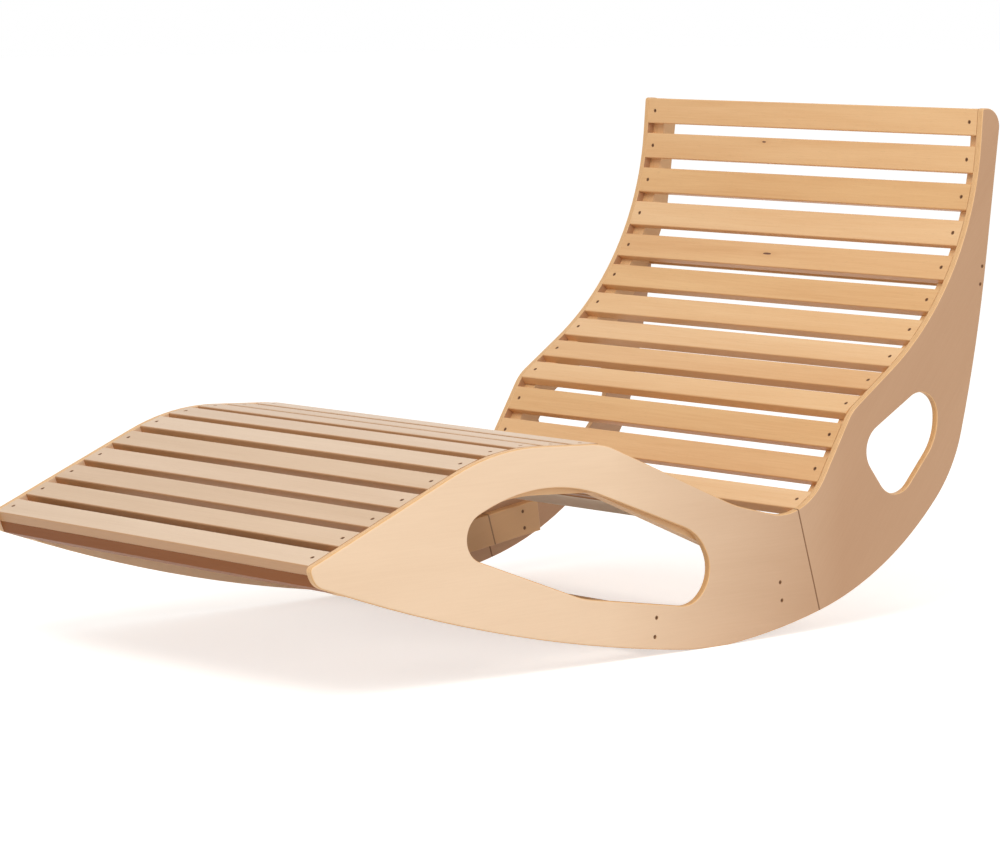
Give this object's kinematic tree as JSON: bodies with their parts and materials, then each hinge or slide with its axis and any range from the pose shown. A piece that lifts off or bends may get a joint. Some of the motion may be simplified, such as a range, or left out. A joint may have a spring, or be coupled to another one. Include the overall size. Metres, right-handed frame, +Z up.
{
  "type": "rocking chaise lounge",
  "caption": "Slatted wooden chaise lounge with a wave-shaped lying surface, between side panels whose curved lower edges rock on the floor.",
  "frame": {"origin": "on the floor, under the middle of the bounding box", "axes": "+X from the foot end to the head end, +Y across the seat to the left plates, +Z up"},
  "size_m": [1.5711, 0.86, 0.8862],
  "materials": {
    "side_plywood": "clear satin varnish",
    "slat_wood": "clear satin varnish",
    "frame_wood": "clear satin varnish",
    "dowel_wood": "plain",
    "screw_steel": "dark brown coating"
  },
  "bodies": {
    "root": {"back_ledge_left": "frame_wood", "back_ledge_right": "frame_wood", "back_plate_left": "side_plywood", "back_plate_right": "side_plywood", "back_rail": "frame_wood", "back_slat_01": "slat_wood", "back_slat_02": "slat_wood", "back_slat_03": "slat_wood", "back_slat_04": "slat_wood", "back_slat_05": "slat_wood", "back_slat_06": "slat_wood", "back_slat_07": "slat_wood", "back_slat_08": "slat_wood", "back_slat_09": "slat_wood", "back_slat_10": "slat_wood", "back_slat_11": "slat_wood", "back_slat_12": "slat_wood", "back_slat_13": "slat_wood", "foot_rail": "frame_wood", "frame_screws": "screw_steel", "leg_ledge_left": "frame_wood", "leg_ledge_right": "frame_wood", "leg_plate_left": "side_plywood", "leg_plate_right": "side_plywood", "leg_slat_01": "slat_wood", "leg_slat_02": "slat_wood", "leg_slat_03": "slat_wood", "leg_slat_04": "slat_wood", "leg_slat_05": "slat_wood", "leg_slat_06": "slat_wood", "leg_slat_07": "slat_wood", "leg_slat_08": "slat_wood", "leg_slat_09": "slat_wood", "leg_slat_10": "slat_wood", "leg_slat_11": "slat_wood", "leg_slat_12": "slat_wood", "leg_slat_13": "slat_wood", "leg_slat_14": "slat_wood", "leg_slat_15": "slat_wood", "leg_slat_16": "slat_wood", "leg_slat_17": "slat_wood", "rail_dowels": "dowel_wood", "rocker_rail": "frame_wood", "seat_rail": "frame_wood", "slat_screws": "screw_steel", "splice_block_left": "frame_wood", "splice_block_right": "frame_wood", "splice_screws": "screw_steel"}
  },
  "joints": []
}
